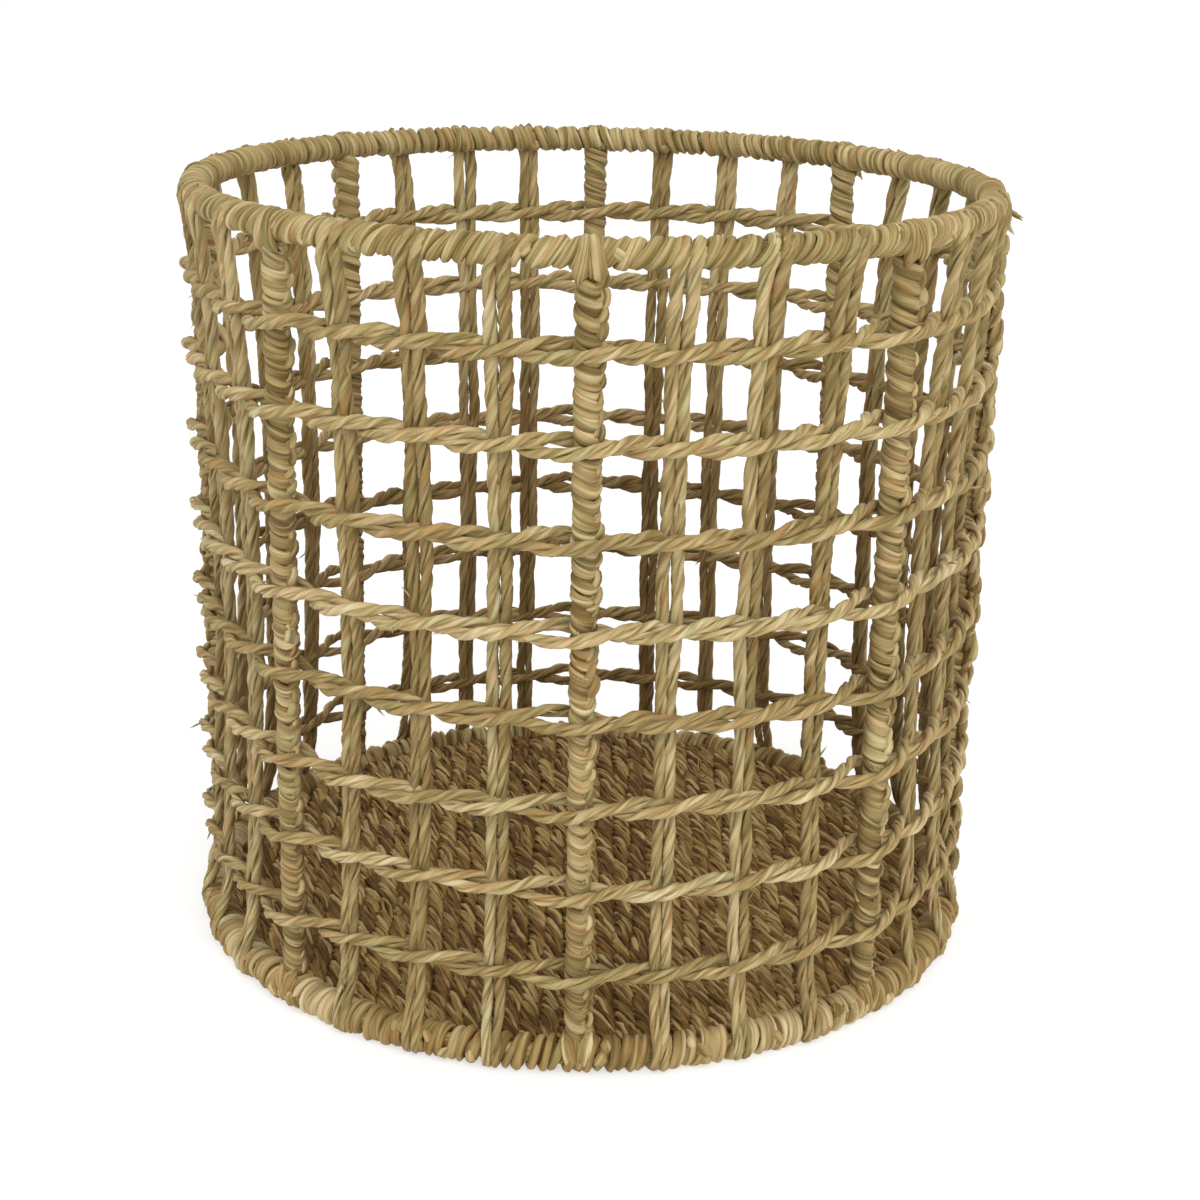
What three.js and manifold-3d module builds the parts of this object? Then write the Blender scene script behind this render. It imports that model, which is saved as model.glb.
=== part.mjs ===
// Open-weave seagrass storage basket, in millimetres, +Z up.
// The origin is on the floor at the middle of the base. The front of the basket faces -Y.
//
// A wire frame is bound with seagrass: a ring at the rim, a ring at the base and eight upright ribs.
// Three doubled cords stand between each two ribs, with their ends held in the bindings of the two rings.
// Eight twined rows run round the side: in each, one cord is folded round an upright and its two halves
// pass in front of and behind every upright in turn, changing places between them.
// A mat of rows laid side by side on bare cross wires fills the base ring.

import * as THREE from "three";
import { mergeVertices } from "three/addons/utils/BufferGeometryUtils.js";
import Module from "manifold-3d";

const wasm = await Module();
wasm.setup();

// Driving dimensions.
const FRAME_RADIUS = 170; // middle of the ring wires, seen from above
const RING_SPACING = 325; // height from the base ring wire to the rim ring wire
const WIRE_RADIUS = 2.2;
const RIM_BINDING_RADIUS = 6.5;
const BASE_BINDING_RADIUS = 7;
const RIB_BINDING_RADIUS = 6.25;
const CORD_RADIUS = 2.75;
const RIB_COUNT = 8;
const CORDS_PER_BAY = 3;
const ROW_COUNT = 8;
const CROSS_WIRE_COUNT = 5;
const MAT_ROW_COUNT = 30;
const CLEARANCE = 0.3; // between pieces that touch

// How finely round shapes are cut up.
const RING_STEPS = 48;
const BINDING_SIDES = 10; // leaves a flat at the very top and the very bottom
const WIRE_SIDES = 6;
const CORD_SIDES = 6;
const ROW_CORD_SIDES = 4;

// Worked out from them.
const flatTop = (radius) => radius * Math.cos(Math.PI / BINDING_SIDES);
const BASE_RING_Z = flatTop(BASE_BINDING_RADIUS);
const RIM_RING_Z = BASE_RING_Z + RING_SPACING;
const UPRIGHT_COUNT = RIB_COUNT * (CORDS_PER_BAY + 1);
const UPRIGHT_ANGLE = (2 * Math.PI) / UPRIGHT_COUNT;
const WIRE_HOLE_RADIUS = WIRE_RADIUS + CLEARANCE;

// The doubled cords: how far each half stands off the middle, and how deep the ends sit in a binding.
const CORD_OFFSET = CORD_RADIUS + CLEARANCE / 2;
const POCKET_DEPTH = 3.2;

// A row's cord passes an upright level with it for PASS_HALF_LENGTH each way, then changes side.
const PASS_HALF_LENGTH = 8;
const ROW_LIFT = CORD_RADIUS + CLEARANCE / 2; // up or down, where the two halves change places
const FIRST_UPRIGHT_OF_ROWS = UPRIGHT_COUNT / 2 + 1; // just past the rib at the back

// The mat.
const MAT_RADIUS = FRAME_RADIUS - BASE_BINDING_RADIUS - 0.8;
const MAT_ROW_HEIGHT = 10.4;
const MAT_GROOVE_HEIGHT = 6.6;
const CROSS_WIRE_SPACING = 54;

const RIB_NAMES = ["front", "front_right", "right", "back_right", "back", "back_left", "left", "front_left"];

const basket = new THREE.Group();

// ---- materials, a fresh one for each mesh

const steel = () => new THREE.MeshStandardMaterial({ color: 0x6f6a60, roughness: 0.55, metalness: 0.85 });
const paleGrass = () => new THREE.MeshStandardMaterial({ color: 0xb39a64, roughness: 0.85, metalness: 0 });
const strawGrass = () => new THREE.MeshStandardMaterial({ color: 0xa88e58, roughness: 0.85, metalness: 0 });
const rowGrass = () => new THREE.MeshStandardMaterial({ color: 0xbfa66e, roughness: 0.85, metalness: 0 });
const matGrass = () => new THREE.MeshStandardMaterial({ color: 0x7c643f, roughness: 0.9, metalness: 0 });

// ---- helpers

function addPiece(name, geometry, material) {
  const mesh = new THREE.Mesh(geometry, material);
  mesh.name = name;
  basket.add(mesh);
}

// A point at an angle from the front, counted towards +X, a distance from the middle and a height.
function polar(angle, radius, z) {
  return new THREE.Vector3(radius * Math.sin(angle), -radius * Math.cos(angle), z);
}

function toSolid(geometry) {
  const bare = geometry.clone();
  bare.deleteAttribute("normal");
  bare.deleteAttribute("uv");
  const merged = mergeVertices(bare, 1e-3);
  const vertProperties = merged.attributes.position.array;
  const triVerts = new Uint32Array(merged.index.array);
  return new wasm.Manifold(new wasm.Mesh({ numProp: 3, vertProperties, triVerts }));
}

function toGeometry(solid) {
  const mesh = solid.getMesh();
  const shared = new THREE.BufferGeometry();
  shared.setAttribute("position", new THREE.BufferAttribute(mesh.vertProperties, 3));
  shared.setIndex(new THREE.BufferAttribute(mesh.triVerts, 1));
  const faceted = shared.toNonIndexed();
  faceted.computeVertexNormals();
  return faceted;
}

function ring(radius, sides, z) {
  return new THREE.TorusGeometry(FRAME_RADIUS, radius, sides, RING_STEPS).translate(0, 0, z);
}

// An upright round bar on the frame's circle.
function upright(angle, radius, sides, fromZ, toZ) {
  const place = polar(angle, FRAME_RADIUS, (fromZ + toZ) / 2);
  const bar = new THREE.CylinderGeometry(radius, radius, toZ - fromZ, sides);
  return bar.rotateX(Math.PI / 2).rotateZ(angle).translate(place.x, place.y, place.z);
}

// A path through given points, with the section held so that one side of it keeps facing a given way.
class GuidedPath extends THREE.Curve {
  constructor(points, facing) {
    super();
    this.points = points;
    this.facing = facing;
  }

  getPointAt(u) {
    const index = Math.round(u * (this.points.length - 1));
    return this.points[index].clone();
  }

  computeFrenetFrames() {
    const frames = { tangents: [], normals: [], binormals: [] };
    const last = this.points.length - 1;
    for (let i = 0; i <= last; i++) {
      const before = this.points[Math.max(i - 1, 0)];
      const here = this.points[i];
      const after = this.points[Math.min(i + 1, last)];
      const arriving = here.clone().sub(before).normalize();
      const leaving = after.clone().sub(here).normalize();
      const tangent = arriving.add(leaving).normalize();
      const side = this.facing(here);
      const normal = side.addScaledVector(tangent, -side.dot(tangent)).normalize();
      frames.tangents.push(tangent);
      frames.normals.push(normal);
      frames.binormals.push(tangent.clone().cross(normal));
    }
    return frames;
  }
}

// A cord with a few flat sides, the corners far enough out to give it a round cord's area.
function cornerRadius(sides) {
  const step = (2 * Math.PI) / sides;
  return CORD_RADIUS * Math.sqrt(step / Math.sin(step));
}

// firstCorner is the first corner's turn from the way the section faces, in steps from corner to corner.
function cordAlong(points, sides, firstCorner, facing) {
  const corners = [];
  for (let i = 0; i < sides; i++) {
    const angle = (2 * Math.PI * (i + firstCorner)) / sides;
    corners.push(new THREE.Vector2(Math.cos(angle), Math.sin(angle)).multiplyScalar(cornerRadius(sides)));
  }
  const path = new GuidedPath(points, facing);
  return new THREE.ExtrudeGeometry(new THREE.Shape(corners), { steps: points.length - 1, extrudePath: path });
}

// ---- the wire frame

function addFrame() {
  addPiece("rim_wire", ring(WIRE_RADIUS, WIRE_SIDES, RIM_RING_Z), steel());
  addPiece("base_wire", ring(WIRE_RADIUS, WIRE_SIDES, BASE_RING_Z), steel());
  const foot = BASE_RING_Z + WIRE_HOLE_RADIUS;
  const head = RIM_RING_Z - WIRE_HOLE_RADIUS;
  for (let rib = 0; rib < RIB_COUNT; rib++) {
    const angle = (2 * Math.PI * rib) / RIB_COUNT;
    addPiece("rib_wire_" + RIB_NAMES[rib], upright(angle, WIRE_RADIUS, WIRE_SIDES, foot, head), steel());
  }
  for (let i = 0; i < CROSS_WIRE_COUNT; i++) {
    addPiece("cross_wire_" + (i + 1), crossWire(i, WIRE_RADIUS, 0), steel());
  }
}

// A straight wire across the base, side to side, its ends just short of the ring wire.
function crossWire(index, radius, extraLength) {
  const y = (index - (CROSS_WIRE_COUNT - 1) / 2) * CROSS_WIRE_SPACING;
  const reach = FRAME_RADIUS - WIRE_HOLE_RADIUS;
  const halfLength = Math.sqrt(reach ** 2 - (Math.abs(y) + WIRE_RADIUS) ** 2) + extraLength;
  const bar = new THREE.CylinderGeometry(radius, radius, 2 * halfLength, WIRE_SIDES);
  return bar.rotateZ(Math.PI / 2).translate(0, y, BASE_RING_Z);
}

// ---- the bindings

// A ring's binding: hollow for the wire, with a hole for each rib and a pocket for each doubled cord.
function ringBinding(radius, z, towards) {
  let solid = toSolid(ring(radius, BINDING_SIDES, z)).subtract(toSolid(ring(WIRE_HOLE_RADIUS, WIRE_SIDES, z)));
  const nearZ = z + towards * 2 * radius;
  const pocketZ = z + towards * (flatTop(radius) + radius);
  const pocketHalfHeight = POCKET_DEPTH + radius;
  const pocketHalfWidth = CORD_OFFSET + CORD_RADIUS + CLEARANCE;
  const pocketHalfThickness = cornerRadius(CORD_SIDES) + CLEARANCE;
  for (let k = 0; k < UPRIGHT_COUNT; k++) {
    const angle = k * UPRIGHT_ANGLE;
    if (k % (CORDS_PER_BAY + 1) === 0) {
      const hole = upright(angle, WIRE_HOLE_RADIUS, WIRE_SIDES, Math.min(z, nearZ), Math.max(z, nearZ));
      solid = solid.subtract(toSolid(hole));
    } else {
      const place = polar(angle, FRAME_RADIUS, pocketZ);
      const box = new THREE.BoxGeometry(2 * pocketHalfWidth, 2 * pocketHalfThickness, 2 * pocketHalfHeight);
      solid = solid.subtract(toSolid(box.rotateZ(angle).translate(place.x, place.y, place.z)));
    }
  }
  return solid;
}

function addBindings() {
  addPiece("rim_binding", toGeometry(ringBinding(RIM_BINDING_RADIUS, RIM_RING_Z, -1)), paleGrass());

  let base = ringBinding(BASE_BINDING_RADIUS, BASE_RING_Z, 1);
  for (let i = 0; i < CROSS_WIRE_COUNT; i++) {
    base = base.subtract(toSolid(crossWire(i, WIRE_HOLE_RADIUS, CLEARANCE)));
  }
  addPiece("base_binding", toGeometry(base), paleGrass());

  // Each rib's binding meets the two ring bindings in a saddle cut.
  const rimSaddle = toSolid(ring(RIM_BINDING_RADIUS + CLEARANCE, BINDING_SIDES, RIM_RING_Z));
  const baseSaddle = toSolid(ring(BASE_BINDING_RADIUS + CLEARANCE, BINDING_SIDES, BASE_RING_Z));
  for (let rib = 0; rib < RIB_COUNT; rib++) {
    const angle = (2 * Math.PI * rib) / RIB_COUNT;
    const sleeve = toSolid(upright(angle, RIB_BINDING_RADIUS, BINDING_SIDES, BASE_RING_Z, RIM_RING_Z));
    const bore = toSolid(upright(angle, WIRE_HOLE_RADIUS, WIRE_SIDES, 0, RIM_RING_Z + RIM_BINDING_RADIUS));
    const solid = sleeve.subtract(rimSaddle).subtract(baseSaddle).subtract(bore);
    addPiece("rib_binding_" + RIB_NAMES[rib], toGeometry(solid), strawGrass());
  }
}

// ---- the upright cords

// One cord doubled over at the top: up one side, round a half circle, down the other.
function doubledCord(angle) {
  const tail = BASE_RING_Z + flatTop(BASE_BINDING_RADIUS) - POCKET_DEPTH + CLEARANCE;
  const top = RIM_RING_Z - flatTop(RIM_BINDING_RADIUS) + POCKET_DEPTH - CLEARANCE;
  const bendZ = top - CORD_RADIUS - CORD_OFFSET;
  const bendSteps = 4;
  const outline = [[-CORD_OFFSET, tail]];
  for (let i = 0; i <= bendSteps; i++) {
    const turn = (Math.PI * i) / bendSteps;
    outline.push([-CORD_OFFSET * Math.cos(turn), bendZ + CORD_OFFSET * Math.sin(turn)]);
  }
  outline.push([CORD_OFFSET, tail]);

  const middle = polar(angle, FRAME_RADIUS, 0);
  const sideways = new THREE.Vector3(Math.cos(angle), Math.sin(angle), 0);
  const points = outline.map(([across, z]) => middle.clone().addScaledVector(sideways, across).setZ(z));
  return cordAlong(points, CORD_SIDES, 0, () => polar(angle, 1, 0));
}

function addUprightCords() {
  let number = 0;
  for (let k = 0; k < UPRIGHT_COUNT; k++) {
    if (k % (CORDS_PER_BAY + 1) !== 0) {
      number += 1;
      const name = "upright_cord_" + String(number).padStart(2, "0");
      addPiece(name, doubledCord(k * UPRIGHT_ANGLE), strawGrass());
    }
  }
}

// ---- the twined rows

// How far a row's cord stands off the frame's circle to clear an upright.
function standOff(k) {
  const isRib = k % (CORDS_PER_BAY + 1) === 0;
  const uprightRadius = isRib ? RIB_BINDING_RADIUS : CORD_RADIUS;
  return uprightRadius + CLEARANCE + CORD_RADIUS;
}

// One half of a row, passing outside the first upright when side is 1, and inside it when side is -1.
function halfRow(z, firstSide) {
  const passAngle = PASS_HALF_LENGTH / FRAME_RADIUS;
  const points = [];
  let side = firstSide;
  for (let i = 0; i < UPRIGHT_COUNT; i++) {
    const k = FIRST_UPRIGHT_OF_ROWS + i;
    const radius = FRAME_RADIUS + side * standOff(k);
    points.push(polar(k * UPRIGHT_ANGLE - passAngle, radius, z - side * ROW_LIFT));
    points.push(polar(k * UPRIGHT_ANGLE + passAngle, radius, z + side * ROW_LIFT));
    side = -side;
  }
  return points;
}

// The fold that joins the two halves just before the first upright, from outside to inside.
function fold(z, firstSide) {
  const radius = standOff(FIRST_UPRIGHT_OF_ROWS);
  const startAngle = FIRST_UPRIGHT_OF_ROWS * UPRIGHT_ANGLE - PASS_HALF_LENGTH / FRAME_RADIUS;
  const foldSteps = 4;
  const points = [];
  for (let i = 1; i < foldSteps; i++) {
    const turn = (Math.PI * i) / foldSteps;
    const back = (radius * Math.sin(turn)) / FRAME_RADIUS;
    const out = firstSide * radius * Math.cos(turn);
    const lift = -firstSide * ROW_LIFT * Math.cos(turn);
    points.push(polar(startAngle - back, FRAME_RADIUS + out, z + lift));
  }
  return points;
}

function addRows() {
  const rowSpacing = RING_SPACING / (ROW_COUNT + 1);
  for (let row = 1; row <= ROW_COUNT; row++) {
    const z = BASE_RING_Z + row * rowSpacing;
    const firstSide = row % 2 === 0 ? 1 : -1;
    const points = [...halfRow(z, firstSide).reverse(), ...fold(z, firstSide), ...halfRow(z, -firstSide)];
    const outward = (point) => new THREE.Vector3(point.x, point.y, 0).normalize();
    addPiece("twined_row_" + row, cordAlong(points, ROW_CORD_SIDES, 0.5, outward), rowGrass());
  }
}

// ---- the base mat

// Rows laid side by side, front to back, trimmed to a round, with a bore for each cross wire.
function addMat() {
  const pitch = (2 * MAT_RADIUS) / MAT_ROW_COUNT;
  const tall = MAT_ROW_HEIGHT / 2;
  const low = MAT_GROOVE_HEIGHT / 2;
  const upper = [];
  const lower = [];
  for (let row = 0; row < MAT_ROW_COUNT; row++) {
    const start = -MAT_RADIUS + row * pitch;
    upper.push([start, low], [start + pitch * 0.25, tall], [start + pitch * 0.75, tall]);
    lower.push([start, -low], [start + pitch * 0.25, -tall], [start + pitch * 0.75, -tall]);
  }
  upper.push([MAT_RADIUS, low]);
  lower.push([MAT_RADIUS, -low]);
  const outline = [...lower, ...upper.reverse()].map(([x, z]) => new THREE.Vector2(x, z));
  const sheet = new THREE.ExtrudeGeometry(new THREE.Shape(outline), { depth: 2 * MAT_RADIUS, bevelEnabled: false });
  // The outline's second axis is turned to Z, and the rows to Y.
  sheet.translate(0, 0, -MAT_RADIUS).rotateX(Math.PI / 2);

  const round = new THREE.CylinderGeometry(MAT_RADIUS, MAT_RADIUS, 2 * MAT_ROW_HEIGHT, RING_STEPS);
  let mat = toSolid(sheet).intersect(toSolid(round.rotateX(Math.PI / 2)));
  mat = mat.translate(0, 0, BASE_RING_Z);
  for (let i = 0; i < CROSS_WIRE_COUNT; i++) {
    mat = mat.subtract(toSolid(crossWire(i, WIRE_HOLE_RADIUS, BASE_BINDING_RADIUS)));
  }
  addPiece("base_mat", toGeometry(mat), matGrass());
}

addFrame();
addBindings();
addUprightCords();
addRows();
addMat();

export default basket;
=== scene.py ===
"""An open-weave seagrass basket on a wire frame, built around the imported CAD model.

Every strand of grass is a mesh swept along a curve. All sizes are in metres, +Z is up, and the basket's
front faces -Y. Angles round the basket are counted from the front towards +X.
"""

from math import cos, pi, radians, sin

import bpy
import numpy as np
from mathutils import Matrix, Vector


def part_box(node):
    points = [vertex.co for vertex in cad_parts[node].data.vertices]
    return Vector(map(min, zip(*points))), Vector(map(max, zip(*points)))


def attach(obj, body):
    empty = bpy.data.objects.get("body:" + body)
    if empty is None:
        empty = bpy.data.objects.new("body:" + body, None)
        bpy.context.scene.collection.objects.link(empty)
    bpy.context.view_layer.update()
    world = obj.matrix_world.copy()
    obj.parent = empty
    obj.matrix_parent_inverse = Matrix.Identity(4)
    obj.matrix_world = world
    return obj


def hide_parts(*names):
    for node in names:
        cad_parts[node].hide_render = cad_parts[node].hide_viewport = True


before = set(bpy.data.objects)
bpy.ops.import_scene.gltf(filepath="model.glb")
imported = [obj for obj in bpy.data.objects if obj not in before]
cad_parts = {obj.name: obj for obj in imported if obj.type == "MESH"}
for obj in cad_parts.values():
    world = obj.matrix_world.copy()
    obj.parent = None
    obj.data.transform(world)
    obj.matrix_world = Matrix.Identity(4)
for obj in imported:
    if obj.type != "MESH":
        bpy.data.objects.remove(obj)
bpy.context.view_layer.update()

MM = 0.001

# ---- the CAD's layout

rim_low, rim_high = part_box("rim_wire")
base_low, base_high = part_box("base_wire")
RIM_Z = (rim_low.z + rim_high.z) / 2
BASE_Z = (base_low.z + base_high.z) / 2
WIRE_RADIUS = (rim_high.z - rim_low.z) / 2 / sin(radians(60))  # the CAD's wires are six-sided
RING_RADIUS = rim_high.x - WIRE_RADIUS
RIM_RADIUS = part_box("rim_binding")[1].x - RING_RADIUS
BASE_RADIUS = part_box("base_binding")[1].x - RING_RADIUS
rib_low, rib_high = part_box("rib_binding_front")
RIB_RADIUS = (rib_high.x - rib_low.x) / 2
RIB_NAMES = ["front", "front_right", "right", "back_right", "back", "back_left", "left", "front_left"]
CORD_COUNT = sum(1 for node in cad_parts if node.startswith("upright_cord_"))
ROW_COUNT = sum(1 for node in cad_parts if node.startswith("twined_row_"))
UPRIGHT_COUNT = len(RIB_NAMES) + CORD_COUNT
CORDS_PER_BAY = CORD_COUNT // len(RIB_NAMES)
UPRIGHT_STEP = 2 * pi / UPRIGHT_COUNT
MAT_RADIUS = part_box("base_mat")[1].x
ROW_LEVELS = [sum(corner.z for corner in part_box("twined_row_%d" % (i + 1))) / 2 for i in range(ROW_COUNT)]
FLOOR_GAP = 0.1 * MM  # what rests on the floor stands this far above it

# ---- the strands

ROW_PLY = 1.5 * MM  # radius of each of the two plies of a row's strand
ROW_PLY_PITCH = 29 * MM  # one full turn of the plies
ROW_LIFT = 2.2 * MM  # up or down, where a row's two strands change places
LEG_PLY = 1.45 * MM  # radius of each of the two plies of an upright's leg
LEG_PITCH = 38 * MM
LEG_OFFSET = 2.25 * MM  # from the middle of an upright to the middle of each leg
RIM_WRAP = 1.9 * MM  # half the thickness of a wrap round the rim ring
BASE_WRAP = 2.3 * MM
RIB_WRAP = 1.7 * MM
RIB_WRAPS = 50
KNOT_THICK = 1.8 * MM
TIE_THICK = 1.9 * MM  # half the thickness of a tie where a rib meets a ring
TIE_WIDE = 2.7 * MM
MAT_ROPE_COUNT = 42
MAT_PLIES = 8
MAT_PLY = 1.02 * MM
MAT_PLY_PITCH = 40 * MM
MAT_TUCK = 3.5 * MM  # how far the ropes' ends go in under the base ring's wraps
MAT_SPACING = 2 * MAT_RADIUS / MAT_ROPE_COUNT
MAT_HALF_WIDTH = 0.56 * MAT_SPACING  # from a rope's middle to the middle of a ply at its side
MAT_HALF_HEIGHT = WIRE_RADIUS + 0.6 * MAT_PLY
LOBES = ((2, 0.07), (3, 0.09), (5, 0.05))  # the bumps round a ply: how many, and how deep against its radius
DEEPEST = 0.16  # how deep a hollow between bumps is where its painted shade is darkest

# ---- curves


def height_up(z):
    """0 at the base ring and 1 at the rim."""
    return (z - BASE_Z) / (RIM_Z - BASE_Z)


def unit(vectors):
    """The vectors at length 1."""
    return vectors / np.maximum(np.linalg.norm(vectors, axis=-1, keepdims=True), 1e-12)


def polar(angle, radius, z):
    """The point at an angle round the basket, a distance from its axis and a height."""
    angle, radius, z = np.broadcast_arrays(angle, radius, z)
    return np.stack([radius * np.sin(angle), -radius * np.cos(angle), z], axis=-1).astype(float)


def wander(rng, distance, wavelength, amount):
    """A smooth random wave along a distance, seldom more than amount each way."""
    total = np.zeros_like(np.asarray(distance, float))
    for faster in (1.0, 1.7, 2.9):
        total += np.sin(2 * pi * distance * faster / wavelength + rng.uniform(0, 2 * pi)) / faster
    return amount * total / 1.5


def lengths(path):
    """How far along the path each of its points is."""
    steps = np.linalg.norm(np.diff(path, axis=0), axis=1)
    return np.concatenate([[0.0], np.cumsum(steps)])


def resample(path, step):
    """The same path, cut into even steps."""
    along = lengths(path)
    count = max(int(round(along[-1] / step)), 3)
    even = np.linspace(0, along[-1], count + 1)
    return np.stack([np.interp(even, along, path[:, axis]) for axis in range(3)], axis=1)


def curve_through(points, step):
    """A smooth curve through a few points, cut into even steps."""
    points = np.asarray(points, float)
    gaps = np.linalg.norm(np.diff(points, axis=0), axis=1)[:, None]
    slopes = np.diff(points, axis=0) / gaps
    inner = (slopes[1:] * gaps[:-1] + slopes[:-1] * gaps[1:]) / (gaps[1:] + gaps[:-1])
    tangents = np.vstack([slopes[:1], inner, slopes[-1:]])
    t = np.linspace(0, 1, 12, endpoint=False)[:, None]
    pieces = []
    for i in range(len(gaps)):
        leave = (t**3 - 2 * t**2 + t) * gaps[i] * tangents[i]
        arrive = (t**3 - t**2) * gaps[i] * tangents[i + 1]
        blend = 3 * t**2 - 2 * t**3
        pieces.append((1 - blend) * points[i] + blend * points[i + 1] + leave + arrive)
    pieces.append(points[-1:])
    return resample(np.vstack(pieces), step)


def frames_along(path, out):
    """The tangent, the normal nearest to out, and their cross product at each point."""
    tangent = unit(np.gradient(path, axis=0))
    normal = unit(out - np.sum(out * tangent, axis=1, keepdims=True) * tangent)
    return tangent, normal, np.cross(tangent, normal)


def ease(values, low, high):
    """0 up to low, 1 from high on, and smooth between."""
    t = np.clip((values - low) / (high - low), 0, 1)
    return t * t * (3 - 2 * t)


def inward_shade_mask(mesh, verts):
    """How much painted shade the surface gets: 1 where it faces the basket's axis, and 0 where it faces
    outwards or is near the rim.
    """
    normals = np.zeros(3 * len(verts), np.float32)
    mesh.vertex_normals.foreach_get("vector", normals)
    inward = -np.sum(normals.reshape(-1, 3) * unit(verts * (1, 1, 0)), axis=1)
    return ease(inward, -0.35, 0.55) * (1 - ease(verts[:, 2] / RIM_Z, 0.50, 0.88))


def add_attribute(mesh, name, kind, field, values):
    """A value on each vertex, for the material to read."""
    attribute = mesh.attributes.new(name, kind, "POINT")
    attribute.data.foreach_set(field, values.astype(np.float32).reshape(-1))


# ---- strands of grass


def blunted(size, count, taper):
    """A half size at each of count points, small at both ends."""
    size = np.broadcast_to(size, count).astype(float).copy()
    for i in range(taper):
        small = (i + 0.6) / (taper + 0.6)
        size[i] *= small
        size[-1 - i] *= small
    return size


class Weave:
    """Gathers swept plies into one mesh, with what the grass material needs on each vertex."""

    def __init__(self, seed):
        self.rng = np.random.default_rng(seed)
        self.verts, self.fibre, self.tint, self.crease_shade = [], [], [], []
        self.corners, self.sizes = [], []
        self.count = 0

    def ply(self, path, out, thick, wide, sides, spin=0.0, relief=1.0, tint=None, taper=2):
        """One ply along a path, with blunt ends.

        thick is its half size along out, and wide its half size across. sides is how many corners its
        section has, spin how far its fibres turn per metre, relief how strong its bumps are, and taper how
        many points each end narrows over."""
        rng = self.rng
        _, normal, across = frames_along(path, out)
        along = lengths(path)[:, None]
        angle = np.linspace(0, 2 * pi, sides, endpoint=False)[None, :]
        grown = angle + spin * along  # turns with the fibres
        bumps = relief * self.bumps(along, grown)
        thick = blunted(thick, len(path), taper)
        wide = blunted(wide, len(path), taper)
        x = thick[:, None] * (1 + bumps) * np.cos(angle)
        y = wide[:, None] * (1 + bumps) * np.sin(angle)
        self.add_tube(path[:, None] + x[..., None] * normal[:, None] + y[..., None] * across[:, None])

        size = np.sqrt(thick * wide)[:, None]
        fibre = np.stack([size * np.cos(grown), size * np.sin(grown), along + 0 * grown], axis=-1) / MM
        self.fibre.append((fibre + rng.uniform(0, 400, 3)).reshape(-1, 3))
        if tint is None:
            tint = rng.uniform(0, 1)
        self.tint.append(np.full(bumps.size, tint))
        # painted shade: 1 in the deepest hollows between bumps, for the material to darken
        self.crease_shade.append(np.clip(-bumps / (relief * DEEPEST), 0, 1).reshape(-1))

    def bumps(self, along, grown):
        """How far a ply's skin stands out or in, against its radius, with bumps that swell and fade."""
        rng = self.rng
        bumps = np.zeros(grown.shape)
        for number, amount in LOBES:
            wave = 2 * pi * along / rng.uniform(18 * MM, 40 * MM) + rng.uniform(0, 2 * pi)
            swell = 1 + 0.6 * np.sin(wave)
            bumps += amount * swell * np.cos(number * grown + rng.uniform(0, 2 * pi))
        return bumps

    def add_tube(self, verts):
        """The skin of a tube from its rings of points, with a flat cap at each end."""
        rings, sides, _ = verts.shape
        index = self.count + np.arange(rings * sides).reshape(rings, sides)
        beside = np.roll(index, -1, 1)
        quads = np.stack([index[:-1], beside[:-1], beside[1:], index[1:]], axis=-1)
        self.corners += [quads.reshape(-1), index[0][::-1], index[-1]]
        self.sizes += [np.full((rings - 1) * sides, 4), [sides], [sides]]
        self.verts.append(verts.reshape(-1, 3))
        self.count += rings * sides

    def cord(self, path, out, radius, pitch, hand, gap, broad, relief, flat=1.0):
        """Two plies twisted round each other. hand is 1 where a vertical cord's plies rise to the right.

        gap is how far a ply's middle is from the cord's, and broad how wide it is, both against radius.
        flat is how thick the cord is along out, against its width."""
        rng = self.rng
        _, normal, across = frames_along(path, out)
        along = lengths(path)
        turn = rng.uniform(0, 2 * pi) + hand * 2 * pi * along / pitch
        turn += wander(rng, along, 3.1 * pitch, 0.5)
        tint = rng.uniform(0, 1)
        for side in (0, pi):
            away = flat * np.cos(turn + side)[:, None] * normal + np.sin(turn + side)[:, None] * across
            swell = 1 + wander(rng, along, 1.1 * pitch, 0.11)
            centre = path + away * (gap * radius * swell)[:, None]
            own_tint = np.clip(tint + rng.uniform(-0.25, 0.25), 0, 1)
            thick = 0.97 * radius * swell
            spin = -hand * 0.7 * pi / pitch
            self.ply(centre, unit(away), thick, broad * radius * swell, 10, spin, relief, own_tint)

    def strand(self, path, out, thick, half_width, riders=1):
        """A flat strand: one wide ply, and narrower ones that wander from side to side on top of it."""
        rng = self.rng
        side = np.cross(unit(np.gradient(path, axis=0)), out)
        self.ply(path, out, thick, half_width, sides=11, spin=rng.uniform(-30, 30), relief=1.0)
        for _ in range(riders):
            edge = 0.42 * np.cos(wander(rng, lengths(path), 130 * MM, 2.4) + rng.uniform(0, 2 * pi))
            beside = path + (edge * half_width)[:, None] * side + 0.42 * thick * out
            spin = rng.uniform(-60, 60)
            self.ply(beside, out, 0.72 * thick, 0.50 * half_width, sides=8, spin=spin, relief=0.8)

    def loose_end(self, start, direction, length, width=1.3 * MM):
        """The loose end of a grass blade: thin, bent and tapering."""
        rng = self.rng
        direction = unit(np.asarray(direction, float))
        side = unit(np.cross(direction, rng.normal(0, 1, 3)))
        t = np.linspace(0, 1, 7)[:, None]
        points = np.asarray(start) + direction * length * t + side * rng.uniform(-0.35, 0.35) * length * t**2
        path = curve_through(points, 1.5 * MM)
        size = np.linspace(1, 0.3, len(path))
        out = np.tile(side, (len(path), 1))
        self.ply(path, out, 0.3 * width * size, 0.5 * width * size, sides=6, relief=0.5)

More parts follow.
